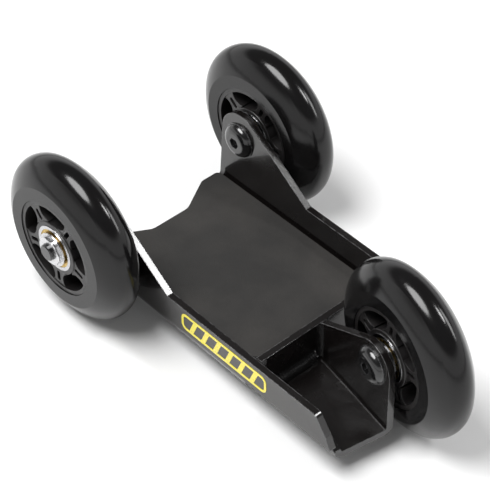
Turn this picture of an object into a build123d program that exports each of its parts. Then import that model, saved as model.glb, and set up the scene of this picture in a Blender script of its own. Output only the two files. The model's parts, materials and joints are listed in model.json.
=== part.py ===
from build123d import *
import os
from math import asin, atan, atan2, cos, degrees, hypot, radians, sin, sqrt, tan

# Small three-wheeled dolly. Millimetres, +X forwards to the single wheel, +Y left, +Z up.
# The origin is on the ground, under the middle of the whole object.
# The folded steel tray is pitched a little, nose up, so it has its own "deck" frame:
# x forwards from the rear axle, y left, z up from the underside of the tray's floor.

# ---- Wheels and bearings -------------------------------------------------------------------
wheel_radius = 40.0
tread_crown_radius = 8.33
tread_crown_angle = 46.0
tyre_half_width = 11.15
tyre_shoulder_radius = 29.5
rim_radius = 23.15
rim_rib_radius = 25.5
rim_rib_half_width = 3.2
rim_half_width = 10.7
rim_wall = 2.1
boss_radius = 13.1
boss_half_width = 10.8
web_half_thickness = 1.6
spoke_count = 5
spoke_half_width = 10.3
spoke_waist = 2.8
spoke_root_flare = 5.6
spoke_rim_flare = 5.2
spoke_slot_length = 5.6
spoke_slot_width = 2.1
spoke_slot_radius = 16.3
joint_gap = 0.02

bearing_outer_radius = 11.0
bearing_bore_radius = 4.0
bearing_width = 7.0
bearing_spacing = 8.0
outer_shoulder_rise = 1.9
inner_shoulder_drop = 1.5
ball_radius = 1.985
ball_count = 7
ball_clearance = 0.06
cage_half_width = 0.8
cage_wall = 0.9
shield_thickness = 0.35
shield_recess = 0.3
shield_gap = 0.35

# ---- Axle hardware -------------------------------------------------------------------------
axle_fit = 0.05
axle_hole_clearance = 0.3
spacer_length = 3.5
spacer_edge_inset = 0.1
spacer_step_length = 0.5
spacer_collar_radius = 8.1
washer_clearance = 0.25
washer_step_height = 0.6
washer_rim_radius = 8.1
washer_rim_height = 0.7
head_flange_radius = 8.9
head_flange_height = 0.5
head_dome_radius = 8.5
head_flat_radius = 4.8
head_height = 3.7
head_bulge = 0.6
socket_across_flats = 5.0
socket_depth = 2.2
nut_across_flats = 13.0
nut_corner_radius = 6.9
nut_height = 1.7
nut_chamfer = 0.3
bolt_end_reach = 1.7
bolt_end_chamfer = 0.5

# ---- Folded tray ---------------------------------------------------------------------------
sheet = 3.2
inner_bend = 3.2
tray_width = 85.0
tray_rear = -15.2
rear_axle_height = 33.4
flange_height = 20.0
ear_radius = 13.0
ear_centre_offset = (1.0, 1.5)
knee_x = 44.7
lip_front = 100.9
corner_relief = 0.6
flange_low_edge = 5.4
near_flange_overhang = 0.6
near_flange_break_run = 3.0
near_flange_break_height = 12.0
near_flange_slope_run = 9.0
shoulder_fillet = 3.4
break_fillet = 9.0
far_corner_radius = 5.0
notch_depth = 10.0
notch_mouth_half_width = 27.3
notch_floor_half_width = 10.2
notch_inner_radius = 6.0
notch_outer_radius = 4.0

# ---- Front bracket -------------------------------------------------------------------------
toe_angle = 10.0
upright_y = -5.0
wheel_lip_gap = 1.17
front_axle_height = 28.4
bracket_nose_radius = 12.0
bracket_inner_bend = 1.3
bracket_lap = 14.0
near_wall_height = 12.4
near_wall_start_gap = 3.6
near_wall_slope_run = 12.6
near_wall_tip_height = 1.5
lap_near_inset = 5.0
lap_far_inset = 1.8

# ---- Mat, welds and decal ------------------------------------------------------------------
mat_thickness = 3.0
mat_gap = 1.3
mat_under_radius = 2.0
mat_corner_radius = 3.6
mat_rear_corner_radius = 2.6
mat_edge_inset = 0.9
weld_leg = 2.6
foot_weld_reach = 2.3
foot_weld_height = 5.0
decal_thickness = 0.15
decal_start = 54.0
decal_length = 54.0
decal_height = 9.4
decal_centre_height = 12.9
decal_border = 1.3
decal_slash_count = 6
decal_slash_width = 2.6
decal_slash_lean = 1.7

# ---- Derived sizes -------------------------------------------------------------------------
outer_bend = inner_bend + sheet
bracket_outer_bend = bracket_inner_bend + sheet
half_width = tray_width / 2
inner_half_width = half_width - sheet
hub_centre = sheet + spacer_length + bearing_width + bearing_spacing / 2
bearing_face = hub_centre + bearing_width + bearing_spacing / 2
nut_seat = bearing_face + washer_step_height + washer_rim_height
pitch_radius = (bearing_bore_radius + bearing_outer_radius) / 2
inner_race_outside = pitch_radius - inner_shoulder_drop
outer_race_inside = pitch_radius + outer_shoulder_rise
outer_race_wall = bearing_outer_radius - outer_race_inside
spacer_radius = inner_race_outside - spacer_edge_inset
axle_radius = bearing_bore_radius - axle_fit
axle_hole_radius = axle_radius + axle_hole_clearance
washer_bore_radius = axle_radius + washer_clearance
toe = radians(toe_angle)
front_reach = (wheel_radius - tread_crown_radius) * cos(toe) + tread_crown_radius
axle_along_bracket = (front_reach + wheel_lip_gap - hub_centre * sin(toe)) / cos(toe)
front_wheel_x = lip_front + axle_along_bracket * cos(toe) + hub_centre * sin(toe)
pitch = atan((rear_axle_height - front_axle_height) / front_wheel_x)
wheelbase = hypot(front_wheel_x, rear_axle_height - front_axle_height)
rear_axle_x = (wheel_radius - wheelbase - front_reach) / 2

deck_x = Vector(cos(pitch), 0, sin(pitch))
deck_up = Vector(-sin(pitch), 0, cos(pitch))
across = Vector(0, 1, 0)
rear_axle = Vector(rear_axle_x, 0, wheel_radius)
bracket_x = deck_x * cos(toe) - across * sin(toe)
bracket_out = deck_x * sin(toe) + across * cos(toe)


def deck_point(x, y, z):
    """World position of a point given in the deck frame."""
    return rear_axle + deck_x * x + across * y + deck_up * (z - rear_axle_height)


def deck_level(z):
    """Plane parallel to the tray's floor, at height z above its underside."""
    return Plane(origin=deck_point(0, 0, z), x_dir=deck_x, z_dir=deck_up)


def deck_side(y):
    """Side view of the tray at y; extruding goes towards the right-hand side."""
    return Plane(origin=deck_point(0, y, 0), x_dir=deck_x, z_dir=-across)


def deck_section(x):
    """Cross section of the tray at x; extruding goes forwards."""
    return Plane(origin=deck_point(x, 0, 0), x_dir=across, z_dir=deck_x)


def bracket_plan(along, out):
    """Deck-frame x and y of a point given along and outwards from the upright's inner face."""
    x = lip_front + along * cos(toe) + out * sin(toe)
    y = upright_y - along * sin(toe) + out * cos(toe)
    return (x, y)


def bracket_side(out):
    """Side view of the bracket's upright; extruding goes away from the front wheel."""
    x, y = bracket_plan(0, out)
    return Plane(origin=deck_point(x, y, 0), x_dir=bracket_x, z_dir=-bracket_out)


def near_front_corner():
    """Deck-frame x and y where the bracket's front edge meets the right-hand flange."""
    front_edge = axle_along_bracket + bracket_nose_radius
    out = (upright_y + inner_half_width - front_edge * sin(toe)) / -cos(toe)
    return bracket_plan(front_edge, out)


def tangent_point(start, centre, radius, side):
    """Where the line from start touches the circle; side is +1 or -1."""
    dx = centre[0] - start[0]
    dy = centre[1] - start[1]
    distance = hypot(dx, dy)
    heading = atan2(dy, dx) + side * asin(radius / distance)
    length = sqrt(distance**2 - radius**2)
    return (start[0] + length * cos(heading), start[1] + length * sin(heading))


def arc_middle(first, last, centre, radius):
    """The point of the circle halfway between two of its points, on their side."""
    dx = (first[0] + last[0]) / 2 - centre[0]
    dy = (first[1] + last[1]) / 2 - centre[1]
    scale = radius / hypot(dx, dy)
    return (centre[0] + dx * scale, centre[1] + dy * scale)


def save(piece, label):
    """Name a finished piece and write it to its own STEP file."""
    piece.label = label
    export_step(piece, f"parts/{label}.step")


# ---- Axle stations: the point where the axle leaves its plate's inner face, the direction
# ---- outwards, the direction forwards, and the angle of the wheel's first spoke above that
front_x, front_y = bracket_plan(axle_along_bracket, 0)
stations = {
    "rear_left": (deck_point(0, inner_half_width, rear_axle_height), across, deck_x, 67.5),
    "rear_right": (deck_point(0, -inner_half_width, rear_axle_height), -across, deck_x, -17.0),
    "front": (deck_point(front_x, front_y, front_axle_height), bracket_out, bracket_x, 13.0),
}


def axle_section(station):
    """Half section through the axle: x is the distance outwards, y the radius."""
    origin, outwards, forwards, _ = stations[station]
    return Plane(origin=origin, x_dir=outwards, z_dir=forwards)


def axle_face(station, distance):
    """Plane across the axle, facing outwards, with x forwards."""
    origin, outwards, forwards, _ = stations[station]
    return Plane(origin=origin + outwards * distance, x_dir=forwards, z_dir=outwards)


def axle_line(station):
    origin, outwards, _, _ = stations[station]
    return Axis(origin, outwards)


def spoke_plane(station, turn):
    """Plane across the hub's middle with x along a spoke, turned up from straight forwards."""
    origin, outwards, forwards, first_angle = stations[station]
    angle = radians(first_angle + turn)
    along = forwards * cos(angle) + deck_up * sin(angle)
    return Plane(origin=origin + outwards * hub_centre, x_dir=along, z_dir=outwards)


# ---- Tray, mat and bracket -------------------------------------------------------------------
def make_deck_tray():
    ear_centre = (ear_centre_offset[0], rear_axle_height + ear_centre_offset[1])
    rear_foot = (tray_rear, -sheet)
    knee = (knee_x, flange_height)
    rear_touch = tangent_point(rear_foot, ear_centre, ear_radius, 1)
    front_touch = tangent_point(knee, ear_centre, ear_radius, -1)
    ear_top = arc_middle(rear_touch, front_touch, ear_centre, ear_radius)
    ear_height = ear_centre[1] + ear_radius
    lip_start = lip_front - outer_bend

    with BuildPart() as deck_tray:
        # Channel with both flanges at full height
        with BuildSketch(deck_section(2 * tray_rear)):
            Rectangle(tray_width, ear_height + sheet, align=(Align.CENTER, Align.MIN))
            bottom = vertices().group_by(Axis.Y)[0]
            fillet(bottom, outer_bend)
            with Locations((0, sheet)):
                RectangleRounded(
                    2 * inner_half_width,
                    2 * ear_height,
                    inner_bend,
                    align=(Align.CENTER, Align.MIN),
                    mode=Mode.SUBTRACT,
                )
        extrude(amount=lip_start - 2 * tray_rear)

        # Side outline: rear ears, sloping edge down to the knee, low flange
        with BuildSketch(deck_side(half_width)):
            with BuildLine():
                Polyline((lip_start, flange_height), (lip_start, -sheet), rear_foot, rear_touch)
                ThreePointArc(rear_touch, ear_top, front_touch)
                Polyline(front_touch, knee, (lip_start, flange_height))
            make_face()
        extrude(amount=tray_width, mode=Mode.INTERSECT)

        # Flange past the lip on the right, ending in a dropped corner
        with BuildSketch(deck_side(-inner_half_width)):
            with BuildLine():
                tip = (near_front_corner()[0] + near_flange_overhang, flange_low_edge)
                shoulder = (tip[0] - near_flange_slope_run, flange_height)
                break_point = (tip[0] - near_flange_break_run, near_flange_break_height)
                corners = ((lip_start, flange_height), shoulder, break_point, tip)
                FilletPolyline(*corners, radius=[shoulder_fillet, break_fillet])
                Polyline(tip, (lip_start, flange_low_edge), (lip_start, flange_height))
            make_face()
        extrude(amount=sheet)

        # Flange up to the lip on the left
        with BuildSketch(deck_side(half_width)):
            with BuildLine():
                corner = (lip_front, flange_height)
                foot = (lip_front, flange_low_edge)
                FilletPolyline((lip_start, flange_height), corner, foot, radius=far_corner_radius)
                Polyline(foot, (lip_start, flange_low_edge), (lip_start, flange_height))
            make_face()
        extrude(amount=sheet)

        # Lip folded up across the front of the floor
        with BuildSketch(deck_side(inner_half_width - corner_relief)):
            with Locations((lip_front, 0)):
                Rectangle(outer_bend, flange_height, align=(Align.MAX, Align.MIN))
            foot_corner = vertices().sort_by_distance((lip_front, 0))[0]
            fillet(foot_corner, outer_bend)
            with Locations((lip_front - sheet, sheet)):
                RectangleRounded(
                    4 * outer_bend,
                    2 * flange_height,
                    inner_bend,
                    align=(Align.MAX, Align.MIN),
                    mode=Mode.SUBTRACT,
                )
        extrude(amount=2 * (inner_half_width - corner_relief))

        # Notch in the floor's rear edge
        with BuildSketch(deck_level(-sheet)):
            notch = notch_points(tray_rear, 0)
            with BuildLine():
                FilletPolyline(*notch, radius=notch_inner_radius)
                Line(notch[-1], notch[0])
            make_face()
        extrude(amount=2 * sheet + inner_bend, mode=Mode.SUBTRACT)
        for side in (-1, 1):
            corner_point = deck_point(tray_rear, side * notch_mouth_half_width, sheet / 2)
            fillet(edges().sort_by_distance(corner_point)[0], notch_outer_radius)

        # Axle holes through both ears
        with BuildSketch(axle_face("rear_right", 0)):
            Circle(axle_hole_radius)
        extrude(amount=tray_width, both=True, mode=Mode.SUBTRACT)
    save(deck_tray.part, "deck_tray")


def notch_points(rear_edge, growth):
    """Trapezium to cut into a rear edge; growth widens and deepens it all round."""
    slope = (notch_mouth_half_width - notch_floor_half_width) / notch_depth
    floor_x = tray_rear + notch_depth + growth
    floor_y = notch_floor_half_width + growth * (hypot(slope, 1) - slope)
    mouth_x = rear_edge - sheet
    mouth_y = floor_y + slope * (floor_x - mouth_x)
    return ((mouth_x, -mouth_y), (floor_x, -floor_y), (floor_x, floor_y), (mouth_x, mouth_y))


def make_rubber_mat():
    mat_rear = tray_rear + mat_edge_inset
    mat_front = lip_front - sheet - mat_gap
    mat_half_width = inner_half_width - mat_gap
    with BuildPart() as rubber_mat:
        with BuildSketch(deck_level(sheet)):
            with Locations((mat_rear, 0)):
                Rectangle(mat_front - mat_rear, 2 * mat_half_width, align=(Align.MIN, Align.CENTER))
            corners = vertices().group_by(Axis.X)
            fillet(corners[0], mat_rear_corner_radius)
            fillet(corners[-1], mat_corner_radius)
            notch = notch_points(mat_rear, mat_edge_inset)
            with BuildLine():
                FilletPolyline(*notch, radius=notch_inner_radius)
                Line(notch[-1], notch[0])
            make_face(mode=Mode.SUBTRACT)
            for side in (-1, 1):
                mouth = (mat_rear, side * notch_mouth_half_width)
                fillet(vertices().sort_by_distance(mouth)[0], notch_outer_radius)
        extrude(amount=mat_thickness)
        # The underside is rounded to clear the tray's bends
        fillet(edges().group_by(Axis(rear_axle, deck_up))[0], mat_under_radius)
    save(rubber_mat.part, "rubber_mat")


def make_front_bracket():
    axle_at = (axle_along_bracket, front_axle_height)
    front_edge = axle_along_bracket + bracket_nose_radius
    root = (0, flange_height)
    top_touch = tangent_point(root, axle_at, bracket_nose_radius, 1)
    front_touch = (front_edge, front_axle_height)
    nose = arc_middle(top_touch, front_touch, axle_at, bracket_nose_radius)
    root_setback = (-2 * sheet, flange_height)
    near_y = -inner_half_width
    near_front = near_front_corner()
    near_wall_start = lip_front + near_wall_start_gap
    lap_rear = lip_front - bracket_lap
    lap_far = bracket_plan(0, -lap_far_inset)[1] + bracket_lap * tan(toe)

    with BuildPart() as front_bracket:
        # Pocket floor, with a tongue that laps under the tray
        with BuildSketch(deck_level(-sheet)):
            with BuildLine():
                Polyline(
                    (lap_rear, near_y + lap_near_inset),
                    (near_wall_start, near_y + lap_near_inset),
                    (near_wall_start, near_y),
                    near_front,
                    bracket_plan(front_edge, sheet),
                    bracket_plan(-sheet * tan(toe), sheet),
                    (lip_front, bracket_plan(0, -lap_far_inset)[1]),
                    (lap_rear, lap_far),
                    close=True,
                )
            make_face()
        extrude(amount=sheet)

        # Upright that carries the front axle
        with BuildSketch(bracket_side(sheet)):
            with BuildLine():
                Polyline(
                    front_touch,
                    (front_edge, -sheet),
                    (-2 * sheet, -sheet),
                    root_setback,
                    root,
                    top_touch,
                )
                ThreePointArc(top_touch, nose, front_touch)
            make_face()
        extrude(amount=sheet)
        with BuildSketch(deck_level(-2 * sheet)):
            with Locations((lip_front, 0)):
                Rectangle(
                    4 * bracket_lap,
                    tray_width,
                    align=(Align.MAX, Align.CENTER),
                )
            with BuildLine():
                Polyline(
                    (lip_front, bracket_plan(0, -lap_far_inset)[1]),
                    (lip_front, near_y),
                    (lap_rear, near_y),
                    (lap_rear, lap_far),
                    close=True,
                )
            make_face(mode=Mode.SUBTRACT)
        extrude(amount=4 * flange_height, mode=Mode.SUBTRACT)

        # Low wall against the inside of the right-hand flange
        with BuildSketch(deck_side(near_y + sheet)):
            with BuildLine():
                Polyline(
                    (near_wall_start, -sheet),
                    (near_front[0] + sheet, -sheet),
                    (near_front[0] + sheet, near_wall_tip_height),
                    (near_front[0], near_wall_tip_height),
                    (near_front[0] - near_wall_slope_run, near_wall_height),
                    (near_wall_start, near_wall_height),
                    close=True,
                )
            make_face()
        extrude(amount=sheet)

        # Trim what the wall sticks out past the square front edge
        with BuildSketch(deck_level(-2 * sheet)):
            with BuildLine():
                Polyline(
                    bracket_plan(front_edge, -tray_width),
                    bracket_plan(front_edge, tray_width),
                    bracket_plan(front_edge + sheet * 4, tray_width),
                    bracket_plan(front_edge + sheet * 4, -tray_width),
                    close=True,
                )
            make_face()
        extrude(amount=4 * flange_height, mode=Mode.SUBTRACT)

        # Bends
        middle = axle_along_bracket * 0.6
        upright_inner = bracket_plan(middle, 0)
        upright_outer = bracket_plan(middle, sheet)
        inner_points = (
            deck_point(*upright_inner, 0),
            deck_point(near_wall_start + middle, near_y + sheet, 0),
        )
        outer_points = (
            deck_point(*upright_outer, -sheet),
            deck_point(near_wall_start + middle, near_y, -sheet),
        )
        for point in inner_points:
            fillet(edges().sort_by_distance(point)[0], bracket_inner_bend)
        for point in outer_points:
            fillet(edges().sort_by_distance(point)[0], bracket_outer_bend)

        with BuildSketch(axle_face("front", 0)):
            Circle(axle_hole_radius)
        extrude(amount=2 * sheet, both=True, mode=Mode.SUBTRACT)
    save(front_bracket.part, "front_bracket")


def make_corner_weld(side, label):
    """Bead that closes the corner between the lip's end and a flange."""
    lip_rear = lip_front - sheet
    lip_end = inner_half_width - corner_relief
    with BuildPart() as bead:
        with BuildSketch(deck_level(outer_bend)):
            with BuildLine():
                Polyline(
                    (lip_front, side * inner_half_width),
                    (lip_rear - weld_leg, side * inner_half_width),
                )
                RadiusArc(
                    (lip_rear - weld_leg, side * inner_half_width),
                    (lip_rear, side * (inner_half_width - weld_leg)),
                    side * weld_leg * 1.4,
                )
                Polyline(
                    (lip_rear, side * (inner_half_width - weld_leg)),
                    (lip_rear, side * lip_end),
                    (lip_front, side * lip_end),
                    (lip_front, side * inner_half_width),
                )
            make_face()
        extrude(amount=flange_height - outer_bend)
    save(bead.part, label)


def make_front_corner_weld():
    """Outside bead in front of the lip, on the right-hand flange."""
    lip_end = inner_half_width - corner_relief
    with BuildPart() as front_corner_weld:
        with BuildSketch(deck_level(outer_bend)):
            with BuildLine():
                Polyline(
                    (lip_front + weld_leg, -inner_half_width),
                    (lip_front, -inner_half_width),
                    (lip_front, -lip_end + weld_leg),
                )
                RadiusArc(
                    (lip_front, -lip_end + weld_leg),
                    (lip_front + weld_leg, -inner_half_width),
                    weld_leg * 1.5,
                )
            make_face()
        extrude(amount=flange_height - outer_bend)
    save(front_corner_weld.part, "front_corner_weld")


def make_foot_weld():
    """Bead in the groove between the lip's bend and the pocket floor."""
    start_y = upright_y - sheet
    length = inner_half_width - lap_near_inset + start_y
    bend_centre = (lip_front - outer_bend, outer_bend)
    with BuildPart() as foot_weld:
        with BuildSketch(deck_side(start_y)):
            with BuildLine():
                Polyline(
                    (lip_front, foot_weld_height),
                    (lip_front - outer_bend / 2, foot_weld_height),
                    (lip_front - outer_bend / 2, 0),
                    (lip_front + foot_weld_reach, 0),
                )
                RadiusArc(
                    (lip_front + foot_weld_reach, 0),
                    (lip_front, foot_weld_height),
                    -foot_weld_height * 1.3,
                )
            make_face()
            with Locations(bend_centre):
                Circle(outer_bend + joint_gap, mode=Mode.SUBTRACT)
        extrude(amount=length)
    save(foot_weld.part, "foot_weld")


def make_upright_weld():
    """Upright bead where the bracket meets the lip's front face."""
    with BuildPart() as upright_weld:
        with BuildSketch(deck_level(bracket_inner_bend + joint_gap)):
            with BuildLine():
                corner = (lip_front, upright_y)
                on_lip = (lip_front, upright_y - weld_leg)
                on_bracket = bracket_plan(weld_leg, 0)
                Polyline(on_bracket, corner, on_lip)
                RadiusArc(on_lip, on_bracket, weld_leg * 1.5)
            make_face()
        extrude(amount=flange_height - bracket_inner_bend - weld_leg * 0.2)
    save(upright_weld.part, "upright_weld")


def make_side_decal():
    """Plain outlined stripe with leaning bars, on the outside of the right-hand flange."""
    middle = decal_start + decal_length / 2
    bar_step = decal_length / (decal_slash_count + 1)
    inner_height = decal_height - 2 * decal_border
    half_slash = decal_slash_width / 2
    with BuildPart() as side_decal:
        with BuildSketch(deck_side(-half_width)):
            with Locations((middle, decal_centre_height)):
                RectangleRounded(decal_length, decal_height, decal_height / 3)
                RectangleRounded(
                    decal_length - 2 * decal_border,
                    inner_height,
                    decal_height / 3 - decal_border,
                    mode=Mode.SUBTRACT,
                )
            for number in range(decal_slash_count):
                x = decal_start + bar_step * (number + 1)
                low = decal_centre_height - decal_height / 2 + decal_border / 2
                high = decal_centre_height + decal_height / 2 - decal_border / 2
                with BuildLine():
                    Polyline(
                        (x - decal_slash_lean - half_slash, low),
                        (x - decal_slash_lean + half_slash, low),
                        (x + decal_slash_lean + half_slash, high),
                        (x + decal_slash_lean - half_slash, high),
                        close=True,
                    )
                make_face()
        extrude(amount=decal_thickness)
    save(side_decal.part, "side_decal")


# ---- Axle hardware, one set for each wheel ---------------------------------------------------
def revolve_profile(station, points, label):
    """Turned piece: a closed profile of (distance outwards, radius) points."""
    with BuildPart() as turned:
        with BuildSketch(axle_section(station)):
            with BuildLine():
                Polyline(*points, close=True)
            make_face()
        revolve(axis=axle_line(station))
    save(turned.part, label)


def tube_points(start, end, inner, outer):
    return ((start, inner), (end, inner), (end, outer), (start, outer))


def make_axle_bolt(station):
    """Flanged button-head bolt put in from the plate's inner side."""
    bolt_end = nut_seat + nut_height + bolt_end_reach
    shoulder = (-head_flange_height, head_dome_radius)
    flat_rim = (-head_height, head_flat_radius)
    crown_distance = (shoulder[0] + flat_rim[0]) / 2 - head_bulge
    crown_radius = (shoulder[1] + flat_rim[1]) / 2 + head_bulge
    with BuildPart() as axle_bolt:
        with BuildSketch(axle_section(station)):
            with BuildLine():
                Polyline(
                    flat_rim,
                    (-head_height, 0),
                    (0, 0),
                    (0, head_flange_radius),
                    (-head_flange_height, head_flange_radius),
                    shoulder,
                )
                ThreePointArc(shoulder, (crown_distance, crown_radius), flat_rim)
            make_face()
        revolve(axis=axle_line(station))
        with BuildSketch(axle_face(station, 0)):
            Circle(axle_radius)
        extrude(amount=bolt_end)
        chamfer(edges().group_by(axle_line(station))[-1], bolt_end_chamfer)
        with BuildSketch(axle_face(station, -head_height)):
            RegularPolygon(socket_across_flats / 2, 6, major_radius=False)
        extrude(amount=socket_depth, mode=Mode.SUBTRACT)
    save(axle_bolt.part, f"axle_bolt_{station}")


def make_axle_nut(station):
    """Low nut with rounded-off corners, on the wheel's outer side."""
    nut_top = nut_seat + nut_height
    with BuildPart() as axle_nut:
        with BuildSketch(axle_face(station, nut_seat)):
            RegularPolygon(nut_across_flats / 2, 6, major_radius=False)
        extrude(amount=nut_height)
        with BuildSketch(axle_section(station)):
            with BuildLine():
                Polyline(
                    (nut_seat, 0),
                    (nut_seat, nut_corner_radius),
                    (nut_top - nut_chamfer, nut_corner_radius),
                    (nut_top, nut_across_flats / 2 - joint_gap),
                    (nut_top, 0),
                    close=True,
                )
            make_face()
        revolve(axis=axle_line(station), mode=Mode.INTERSECT)
        with BuildSketch(axle_face(station, nut_seat)):
            Circle(axle_radius + joint_gap)
        extrude(amount=nut_height, mode=Mode.SUBTRACT)
    save(axle_nut.part, f"axle_nut_{station}")


def make_nut_washer(station):
    step_top = bearing_face + washer_step_height
    points = (
        (bearing_face, washer_bore_radius),
        (nut_seat, washer_bore_radius),
        (nut_seat, washer_rim_radius),
        (step_top, washer_rim_radius),
        (step_top, spacer_radius),
        (bearing_face, spacer_radius),
    )
    revolve_profile(station, points, f"nut_washer_{station}")


def make_static_rings(station):
    bearing_start = sheet + spacer_length
    sleeve_start = bearing_start + bearing_width
    step_start = bearing_start - spacer_step_length
    spacer = (
        (sheet, washer_bore_radius),
        (bearing_start, washer_bore_radius),
        (bearing_start, spacer_radius),
        (step_start, spacer_radius),
        (step_start, spacer_collar_radius),
        (sheet, spacer_collar_radius),
    )
    revolve_profile(station, spacer, f"wheel_spacer_{station}")
    sleeve_end = sleeve_start + bearing_spacing
    sleeve = tube_points(sleeve_start, sleeve_end, washer_bore_radius, spacer_radius)
    revolve_profile(station, sleeve, f"bearing_sleeve_{station}")


# ---- Bearings --------------------------------------------------------------------------------
def bearing_centres():
    first = sheet + spacer_length + bearing_width / 2
    return (first, first + bearing_width + bearing_spacing)


def make_races(station):
    """Inner races stay on the axle; outer races turn with the wheel."""
    half = bearing_width / 2
    groove = ball_radius + ball_clearance
    walls = {
        "inner": (bearing_bore_radius, inner_race_outside),
        "outer": (outer_race_inside, bearing_outer_radius),
    }
    for name, (low, high) in walls.items():
        with BuildPart() as races:
            for centre in bearing_centres():
                with BuildSketch(axle_section(station)):
                    with Locations((centre, (low + high) / 2)):
                        Rectangle(2 * half, high - low)
                    with Locations((centre, pitch_radius)):
                        Circle(groove, mode=Mode.SUBTRACT)
                revolve(axis=axle_line(station))
        save(races.part, f"{name}_races_{station}")


def make_ball_set(station):
    with BuildPart() as ball_set:
        for centre in bearing_centres():
            with BuildSketch(axle_section(station)):
                with Locations((centre, pitch_radius)):
                    Rectangle(2 * cage_half_width, cage_wall)
            revolve(axis=axle_line(station))
        for centre in bearing_centres():
            with Locations(axle_face(station, centre)):
                with PolarLocations(pitch_radius, ball_count):
                    Sphere(ball_radius)
    save(ball_set.part, f"ball_set_{station}")


def make_shields(station):
    inner = inner_race_outside + shield_gap
    outer = outer_race_inside - joint_gap
    inset = bearing_width / 2 - shield_recess - shield_thickness / 2
    with BuildPart() as shields:
        for centre in bearing_centres():
            for side in (-1, 1):
                with BuildSketch(axle_section(station)):
                    with Locations((centre + side * inset, (inner + outer) / 2)):
                        Rectangle(shield_thickness, outer - inner)
                revolve(axis=axle_line(station))
    save(shields.part, f"bearing_shields_{station}")


# ---- Wheels ----------------------------------------------------------------------------------
def make_tyre(station):
    centre = hub_centre
    seat = rim_radius + joint_gap
    rib = rim_rib_radius + joint_gap
    rib_half = rim_rib_half_width + joint_gap
    start_angle = 90 - tread_crown_angle
    with BuildPart() as tyre:
        with BuildSketch(axle_section(station)):
            with BuildLine():
                crown_at = (centre, wheel_radius - tread_crown_radius)
                crown = CenterArc(crown_at, tread_crown_radius, start_angle, 2 * tread_crown_angle)
                inner_shoulder = (centre - tyre_half_width, tyre_shoulder_radius)
                outer_shoulder = (centre + tyre_half_width, tyre_shoulder_radius)
                TangentArc(crown @ 1, inner_shoulder, tangent=crown % 1)
                TangentArc(crown @ 0, outer_shoulder, tangent=(crown % 0) * -1)
                Polyline(
                    inner_shoulder,
                    (centre - tyre_half_width, seat),
                    (centre - rib_half, seat),
                    (centre - rib_half, rib),
                    (centre + rib_half, rib),
                    (centre + rib_half, seat),
                    (centre + tyre_half_width, seat),
                    outer_shoulder,
                )
            make_face()
        revolve(axis=axle_line(station))
    save(tyre.part, f"tyre_{station}")


def make_hub(station):
    """Rim, web, boss and twin spokes, with a bearing seat in each side."""
    rim_inside = rim_radius - rim_wall
    seat = bearing_outer_radius + joint_gap
    with BuildPart() as hub:
        with BuildSketch(axle_section(station)):
            with Locations((hub_centre, (rim_inside + rim_radius) / 2)):
                Rectangle(2 * rim_half_width, rim_wall)
            with Locations((hub_centre, (rim_inside + rim_rib_radius) / 2)):
                Rectangle(2 * rim_rib_half_width, rim_rib_radius - rim_inside)
            with Locations((hub_centre, (bearing_outer_radius + rim_radius) / 2)):
                Rectangle(2 * web_half_thickness, rim_radius - bearing_outer_radius)
            with Locations((hub_centre, (bearing_outer_radius + boss_radius) / 2)):
                Rectangle(2 * boss_half_width, boss_radius - bearing_outer_radius)
            with Locations((hub_centre, bearing_outer_radius - outer_race_wall / 2)):
                Rectangle(bearing_spacing, outer_race_wall + 2 * joint_gap)
        revolve(axis=axle_line(station))
        fillet(edges().filter_by(GeomType.CIRCLE).group_by(axle_line(station))[0], 0.35)
        fillet(edges().filter_by(GeomType.CIRCLE).group_by(axle_line(station))[-1], 0.35)

        waist_radius = (boss_radius + rim_inside) / 2
        spoke_start = boss_radius - 0.5
        spoke_end = rim_inside + 0.5
        for number in range(spoke_count):
            with BuildSketch(spoke_plane(station, number * 360 / spoke_count)):
                with BuildLine():
                    upper = ((spoke_start, spoke_root_flare), (spoke_end, spoke_rim_flare))
                    lower = ((spoke_start, -spoke_root_flare), (spoke_end, -spoke_rim_flare))
                    ThreePointArc(upper[0], (waist_radius, spoke_waist), upper[1])
                    Line(upper[1], lower[1])
                    ThreePointArc(lower[1], (waist_radius, -spoke_waist), lower[0])
                    Line(lower[0], upper[0])
                make_face()
                with Locations((spoke_slot_radius, 0)):
                    SlotOverall(spoke_slot_length, spoke_slot_width, mode=Mode.SUBTRACT)
            extrude(amount=spoke_half_width, both=True)

        with BuildSketch(axle_face(station, hub_centre)):
            Circle(seat)
        extrude(amount=2 * boss_half_width, both=True, mode=Mode.SUBTRACT)
        with BuildSketch(axle_section(station)):
            with Locations((hub_centre, bearing_outer_radius - outer_race_wall / 2)):
                Rectangle(bearing_spacing, outer_race_wall + 4 * joint_gap)
        revolve(axis=axle_line(station))
    save(hub.part, f"hub_{station}")


def make_wheel_station(station):
    make_axle_bolt(station)
    make_axle_nut(station)
    make_nut_washer(station)
    make_static_rings(station)
    make_races(station)
    make_ball_set(station)
    make_shields(station)
    make_tyre(station)
    make_hub(station)


os.makedirs("parts", exist_ok=True)
make_deck_tray()
make_rubber_mat()
make_front_bracket()
make_corner_weld(1, "corner_weld_left")
make_corner_weld(-1, "corner_weld_right")
make_front_corner_weld()
make_foot_weld()
make_upright_weld()
make_side_decal()
for wheel_station in stations:
    make_wheel_station(wheel_station)
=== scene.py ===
import json
import math

import bmesh
import bpy
from mathutils import Matrix, Vector


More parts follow.
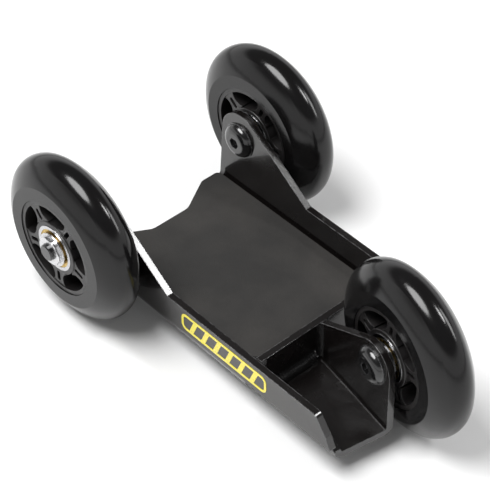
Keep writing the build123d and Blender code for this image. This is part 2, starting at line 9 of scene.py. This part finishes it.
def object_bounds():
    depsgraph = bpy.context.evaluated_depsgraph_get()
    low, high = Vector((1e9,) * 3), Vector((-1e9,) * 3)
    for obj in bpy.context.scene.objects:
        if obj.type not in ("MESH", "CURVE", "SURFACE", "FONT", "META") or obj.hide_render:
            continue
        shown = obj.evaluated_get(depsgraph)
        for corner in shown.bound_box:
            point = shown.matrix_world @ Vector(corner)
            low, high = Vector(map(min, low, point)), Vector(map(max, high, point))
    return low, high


# Everything is in metres, in the CAD's own frame.
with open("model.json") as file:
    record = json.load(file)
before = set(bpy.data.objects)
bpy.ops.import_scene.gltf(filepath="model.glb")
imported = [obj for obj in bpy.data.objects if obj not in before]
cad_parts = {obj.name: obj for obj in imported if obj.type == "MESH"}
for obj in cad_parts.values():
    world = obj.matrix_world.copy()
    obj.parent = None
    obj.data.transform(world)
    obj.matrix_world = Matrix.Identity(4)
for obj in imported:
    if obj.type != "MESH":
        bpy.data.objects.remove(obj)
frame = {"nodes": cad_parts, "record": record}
cad_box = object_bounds()
nodes = frame["nodes"]
MM = 0.001

# ---- Camera: the photograph's viewing angle; angles in degrees, lens and sensor in mm --------
CAMERA_PLACE = Vector((0.41257, -0.39749, 0.61645))
CAMERA_AZIMUTH = 47.611
CAMERA_ELEVATION = 44.682
CAMERA_ROLL = 0.869
CAMERA_LENS = 138.94
SENSOR = 36.0

# ---- Colours: each finish mixes its main colour with its second one ---------------------------
PAINT_BLACK = (0.0056, 0.0046, 0.0044, 1)
# light grey edge colour of the paint: partly wear, partly a painted highlight on the edges
PAINT_EDGE_WEAR_AND_HIGHLIGHT = (0.20, 0.20, 0.205, 1)
WELD_GREY = (0.009, 0.009, 0.0095, 1)
URETHANE_BLACK = (0.0032, 0.0026, 0.0026, 1)
URETHANE_SWIRL = (0.006, 0.006, 0.0063, 1)
HUB_BLACK = (0.0085, 0.0066, 0.0063, 1)
HUB_SPECKLE = (0.014, 0.014, 0.0145, 1)
MAT_GREY = (0.019, 0.0182, 0.0174, 1)
MAT_DUST = (0.052, 0.048, 0.044, 1)
ZINC = (0.74, 0.74, 0.75, 1)
ZINC_DULL = (0.56, 0.56, 0.57, 1)
STEEL = (0.66, 0.66, 0.67, 1)
STEEL_DULL = (0.5, 0.5, 0.51, 1)
GOLD = (0.60, 0.42, 0.13, 1)
GOLD_DULL = (0.42, 0.28, 0.08, 1)
OXIDE = (0.006, 0.006, 0.0063, 1)
OXIDE_RUBBED = (0.12, 0.12, 0.125, 1)
DECAL_YELLOW = (0.85, 0.74, 0.03, 1)
DECAL_MOTTLE = (0.76, 0.64, 0.025, 1)
FLOOR_COLOUR = (0.86, 0.86, 0.86, 1)
FLOOR_SHADE = (0.84, 0.84, 0.84, 1)

# ---- Detail shared by the finishes ------------------------------------------------------------
NOISE_LOW, NOISE_HIGH = 0.3, 0.7  # the range that most of a noise's values lie in
BEVEL_SAMPLES = 6
EDGE_STARTS, EDGE_FULL = 0.995, 0.9  # true normal . rounded normal where the edge mask starts and is full
WAVE_PHASE = 10  # radians of a wave texture's phase for each unit of its scaled coordinate
MIX_FACTOR, MIX_FIRST, MIX_SECOND, MIX_RESULT = 0, 6, 7, 2  # a Mix node's colour sockets

# ---- Studio -----------------------------------------------------------------------------------
FLOOR_HALF_SIZE = 6.0
FLOOR_GAP = 0.2 * MM
SWEEP_WHITE = (1.05, 1.05, 1.05, 1)
STUDIO_DARK = (0.12, 0.12, 0.12, 1)
SWEEP_TOP = 0.28  # sine of the elevation where the white sweep starts to darken
STUDIO_BOTTOM = 0.5  # sine of the elevation above which the studio is dark
LIGHT_AIM = Vector((0, 0, 0.05))
ALONG_FAR_EDGES = (0.44, -0.07, -0.32)
# Name, direction from the aim, distance, length, width, watts, direction of the long side
SOFTBOXES = (
    ("front_softbox", (-0.21, -0.36, 0.91), 1.25, 0.95, 0.66, 20, (0.67, -0.27, 0.06)),
    ("back_softbox", (0.50, 0.62, 0.55), 0.75, 0.42, 0.15, 1.3, ALONG_FAR_EDGES),
    ("ear_strip", (0.32, 0.34, 0.63), 0.79, 0.26, 0.09, 1.6, ALONG_FAR_EDGES),
)


# ---- Node helpers -----------------------------------------------------------------------------
def map_range(tree, value, low, high, to_low, to_high, **settings):
    """Map value from low..high to to_low..to_high."""
    node = tree.nodes.new("ShaderNodeMapRange")
    for key, setting in settings.items():
        setattr(node, key, setting)
    for socket, number in zip(("From Min", "From Max", "To Min", "To Max"),
                              (low, high, to_low, to_high)):
        node.inputs[socket].default_value = number
    tree.links.new(value, node.inputs["Value"])
    return node.outputs["Result"]


def mix_colours(tree, factor, first, second):
    """The first colour where factor is 0, the second where it is 1."""
    node = tree.nodes.new("ShaderNodeMix")
    node.data_type = "RGBA"
    node.inputs[MIX_FIRST].default_value = first
    node.inputs[MIX_SECOND].default_value = second
    tree.links.new(factor, node.inputs[MIX_FACTOR])
    return node.outputs[MIX_RESULT]


class Surface:
    """A principled material with small helpers for wiring procedural detail."""

    def __init__(self, name, **sockets):
        self.material = bpy.data.materials.new(name)
        self.material.use_nodes = True
        self.tree = self.material.node_tree
        self.shader = self.tree.nodes["Principled BSDF"]
        for socket, value in sockets.items():
            self.shader.inputs[socket.replace("_", " ")].default_value = value
        self.place = self.new("ShaderNodeTexCoord").outputs["Object"]

    def new(self, kind, **settings):
        node = self.tree.nodes.new(kind)
        for key, value in settings.items():
            setattr(node, key, value)
        return node

    def link(self, source, target):
        self.tree.links.new(source, target)

    def noise(self, per_metre, detail):
        node = self.new("ShaderNodeTexNoise")
        node.inputs["Scale"].default_value = per_metre
        node.inputs["Detail"].default_value = detail
        self.link(self.place, node.inputs["Vector"])
        return node.outputs["Fac"]

    def ripples(self, pitch, distortion):
        """Wavy bands across the diagonal, pitch metres apart along any one axis."""
        node = self.new("ShaderNodeTexWave", bands_direction="DIAGONAL")
        node.inputs["Scale"].default_value = math.tau / WAVE_PHASE / pitch
        node.inputs["Distortion"].default_value = distortion
        node.inputs["Detail"].default_value = 1.0
        self.link(self.place, node.inputs["Vector"])
        return node.outputs["Fac"]

    def spread(self, value, low, high, to_low, to_high):
        return map_range(self.tree, value, low, high, to_low, to_high)

    def product(self, first, second):
        node = self.new("ShaderNodeMath", operation="MULTIPLY")
        self.link(first, node.inputs[0])
        self.link(second, node.inputs[1])
        return node.outputs["Value"]

    def rounded_normal(self, radius):
        node = self.new("ShaderNodeBevel", samples=BEVEL_SAMPLES)
        node.inputs["Radius"].default_value = radius
        return node.outputs["Normal"]

    def edge_wear_and_highlight_mask(self, radius):
        """1 at sharp edges, 0 on flats: how far a rounded normal is from the true one."""
        geometry = self.new("ShaderNodeNewGeometry")
        dot = self.new("ShaderNodeVectorMath", operation="DOT_PRODUCT")
        self.link(self.rounded_normal(radius), dot.inputs[0])
        self.link(geometry.outputs["Normal"], dot.inputs[1])
        return self.spread(dot.outputs["Value"], EDGE_STARTS, EDGE_FULL, 0.0, 1.0)

    def colour(self, factor, first, second):
        colour = mix_colours(self.tree, factor, first, second)
        self.link(colour, self.shader.inputs["Base Color"])

    def rough(self, noise, low, high):
        """Roughness that wanders between low and high with the noise."""
        roughness = self.spread(noise, NOISE_LOW, NOISE_HIGH, low, high)
        self.link(roughness, self.shader.inputs["Roughness"])

    def bump(self, *layers, rounding=0.0):
        """Layers are (height output, distance in metres); rounding softens sharp edges."""
        normal = self.rounded_normal(rounding) if rounding else None
        for height, distance in layers:
            node = self.new("ShaderNodeBump")
            node.inputs["Distance"].default_value = distance
            self.link(height, node.inputs["Height"])
            if normal:
                self.link(normal, node.inputs["Normal"])
            normal = node.outputs["Normal"]
        self.link(normal, self.shader.inputs["Normal"])


# ---- Materials: noise scales are per metre, bump heights in metres ----------------------------
def make_paint():
    """Gloss black powder coat: orange peel, faint scuffs, and a lighter colour along the edges
    that is partly wear and partly a painted edge highlight.
    """
    s = Surface("black_powder_coat", Coat_Weight=0.5, Coat_Roughness=0.06)
    patches = s.spread(s.noise(420, 5), 0.42, 0.60, 0.1, 0.8)
    # lighter colour in patches along sharp edges: partly wear, partly a painted highlight on the
    # edges
    s.colour(s.product(s.edge_wear_and_highlight_mask(0.5 * MM), patches), PAINT_BLACK, PAINT_EDGE_WEAR_AND_HIGHLIGHT)
    s.rough(s.noise(60, 4), 0.16, 0.30)
    s.bump((s.noise(900, 2), 0.04 * MM), (s.noise(160, 1), 0.06 * MM), rounding=0.5 * MM)
    return s.material


def make_weld_paint():
    """The same paint over a lumpy bead."""
    s = Surface("weld_paint", Coat_Weight=0.6, Coat_Roughness=0.05)
    s.colour(s.noise(300, 3), PAINT_BLACK, WELD_GREY)
    s.rough(s.noise(200, 4), 0.12, 0.26)
    s.bump((s.ripples(1.3 * MM, 2.5), 0.3 * MM), (s.noise(700, 2), 0.1 * MM))
    return s.material


def make_mat_rubber():
    """Matt rubber sheet: fine grain, a slight cloudiness and some dust."""
    s = Surface("mat_rubber", Specular_IOR_Level=0.35)
    clouds = s.spread(s.noise(30, 6), 0.40, 0.75, 0.0, 1.0)
    s.colour(s.product(clouds, s.noise(2500, 3)), MAT_GREY, MAT_DUST)
    s.rough(s.noise(90, 4), 0.62, 0.80)
    s.bump((s.noise(2600, 4), 0.1 * MM), (s.noise(12, 2), 0.4 * MM), rounding=0.4 * MM)
    return s.material


def make_urethane():
    """Cast polyurethane tread: very smooth and dark, with faint casting swirls."""
    s = Surface("tyre_urethane", Specular_IOR_Level=0.36)
    s.colour(s.noise(80, 4), URETHANE_BLACK, URETHANE_SWIRL)
    s.rough(s.noise(45, 5), 0.12, 0.18)
    s.bump((s.noise(55, 2), 0.08 * MM), (s.noise(1500, 3), 0.01 * MM))
    return s.material


def make_hub_plastic():
    """Moulded glass-filled nylon: satin with fine speckle."""
    s = Surface("hub_plastic")
    s.colour(s.noise(900, 4), HUB_BLACK, HUB_SPECKLE)
    s.rough(s.noise(250, 4), 0.28, 0.42)
    s.bump((s.noise(2200, 3), 0.03 * MM), rounding=0.35 * MM)
    return s.material


def make_metal(name, bright, dull, low_rough, high_rough):
    """Plated or ground steel with fine grain and slight staining."""
    s = Surface(name, Metallic=1.0)
    s.colour(s.spread(s.noise(500, 5), 0.35, 0.75, 0.0, 1.0), bright, dull)
    s.rough(s.noise(700, 4), low_rough, high_rough)
    s.bump((s.noise(1500, 3), 0.007 * MM), rounding=0.25 * MM)
    return s.material


def make_oxide():
    """Black hardware: dark, glossy as if painted over, edges rubbed lighter."""
    s = Surface("black_oxide", Coat_Weight=0.5, Coat_Roughness=0.06)
    patches = s.spread(s.noise(700, 4), 0.4, 0.6, 0.1, 0.8)
    s.colour(s.product(s.edge_wear_and_highlight_mask(0.35 * MM), patches), OXIDE, OXIDE_RUBBED)
    s.rough(s.noise(500, 4), 0.14, 0.26)
    s.bump((s.noise(1600, 3), 0.02 * MM), rounding=0.3 * MM)
    return s.material


def make_decal():
    """Printed vinyl: even ink with a little mottling under a clear film."""
    s = Surface("decal_yellow", Coat_Weight=0.8, Coat_Roughness=0.08)
    s.colour(s.noise(1200, 4), DECAL_YELLOW, DECAL_MOTTLE)
    s.rough(s.noise(400, 4), 0.25, 0.40)
    s.bump((s.noise(900, 2), 0.01 * MM))
    return s.material


def make_floor_material():
    """Pale matt paint."""
    s = Surface("floor_paint")
    s.colour(s.noise(6, 3), FLOOR_COLOUR, FLOOR_SHADE)
    s.rough(s.noise(20, 3), 0.65, 0.8)
    s.bump((s.noise(700, 2), 0.02 * MM))
    return s.material


materials = {
    "black_powder_coat": make_paint(),
    "mat_rubber": make_mat_rubber(),
    "tyre_urethane": make_urethane(),
    "hub_plastic": make_hub_plastic(),
    "zinc_plate": make_metal("zinc_plate", ZINC, ZINC_DULL, 0.18, 0.34),
    "black_oxide": make_oxide(),
    "bearing_steel": make_metal("bearing_steel", STEEL, STEEL_DULL, 0.10, 0.22),
    "gold_shield": make_metal("gold_shield", GOLD, GOLD_DULL, 0.22, 0.36),
    "decal_yellow": make_decal(),
}
weld_paint = make_weld_paint()

slot_of = {part["node"]: part["material_slot"] for part in frame["record"]["subparts"]}
for name, node in nodes.items():
    node.data.materials.clear()
    node.data.materials.append(weld_paint if "weld" in name else materials[slot_of[name]])


# ---- Floor, lights, world, camera -------------------------------------------------------------
def make_floor():
    mesh = bpy.data.meshes.new("floor")
    maker = bmesh.new()
    bmesh.ops.create_grid(maker, x_segments=1, y_segments=1, size=FLOOR_HALF_SIZE)
    maker.to_mesh(mesh)
    maker.free()
    floor = bpy.data.objects.new("floor", mesh)
    bpy.context.scene.collection.objects.link(floor)
    floor.location.z = cad_box[0][2] - FLOOR_GAP
    floor.data.materials.append(make_floor_material())


def facing(right, up, back):
    """Rotation whose local x, y and z axes are right, up and back."""
    return Matrix((right, up, back)).transposed().to_4x4()


def add_softbox(name, towards, distance, length, width, watts, long_way):
    """Elliptical light in the direction towards, with its long side along long_way."""
    back = Vector(towards).normalized()
    side = Vector(long_way)
    side = (side - back * side.dot(back)).normalized()
    light = bpy.data.lights.new(name, "AREA")
    light.shape = "ELLIPSE"
    light.size, light.size_y = length, width
    light.energy = watts
    lamp = bpy.data.objects.new(name, light)
    bpy.context.scene.collection.objects.link(lamp)
    turn = facing(side, back.cross(side), back)
    lamp.matrix_world = Matrix.Translation(LIGHT_AIM + back * distance) @ turn


def make_world():
    """White sweep round the horizon, dark studio overhead."""
    world = bpy.data.worlds.new("studio")
    bpy.context.scene.world = world
    world.use_nodes = True
    tree = world.node_tree
    place = tree.nodes.new("ShaderNodeTexCoord")
    split = tree.nodes.new("ShaderNodeSeparateXYZ")
    tree.links.new(place.outputs["Generated"], split.inputs[0])
    sweep = map_range(tree, split.outputs["Z"], SWEEP_TOP, STUDIO_BOTTOM, 1.0, 0.0,
                      interpolation_type="SMOOTHSTEP")
    shade = mix_colours(tree, sweep, STUDIO_DARK, SWEEP_WHITE)
    tree.links.new(shade, tree.nodes["Background"].inputs["Color"])
    bpy.context.scene.view_settings.view_transform = "Standard"


def make_camera():
    azimuth, elevation = math.radians(CAMERA_AZIMUTH), math.radians(CAMERA_ELEVATION)
    roll = math.radians(CAMERA_ROLL)
    back = Vector((math.sin(azimuth) * math.cos(elevation),
                   -math.cos(azimuth) * math.cos(elevation),
                   math.sin(elevation)))
    level = Vector((math.cos(azimuth), math.sin(azimuth), 0))
    over = back.cross(level)
    right = level * math.cos(roll) + over * math.sin(roll)
    data = bpy.data.cameras.new("camera")
    data.sensor_width = SENSOR
    data.lens = CAMERA_LENS
    camera = bpy.data.objects.new("camera", data)
    bpy.context.scene.collection.objects.link(camera)
    turn = facing(right, back.cross(right), back)
    camera.matrix_world = Matrix.Translation(CAMERA_PLACE) @ turn
    bpy.context.scene.camera = camera


make_floor()
for softbox in SOFTBOXES:
    add_softbox(*softbox)
make_world()
make_camera()
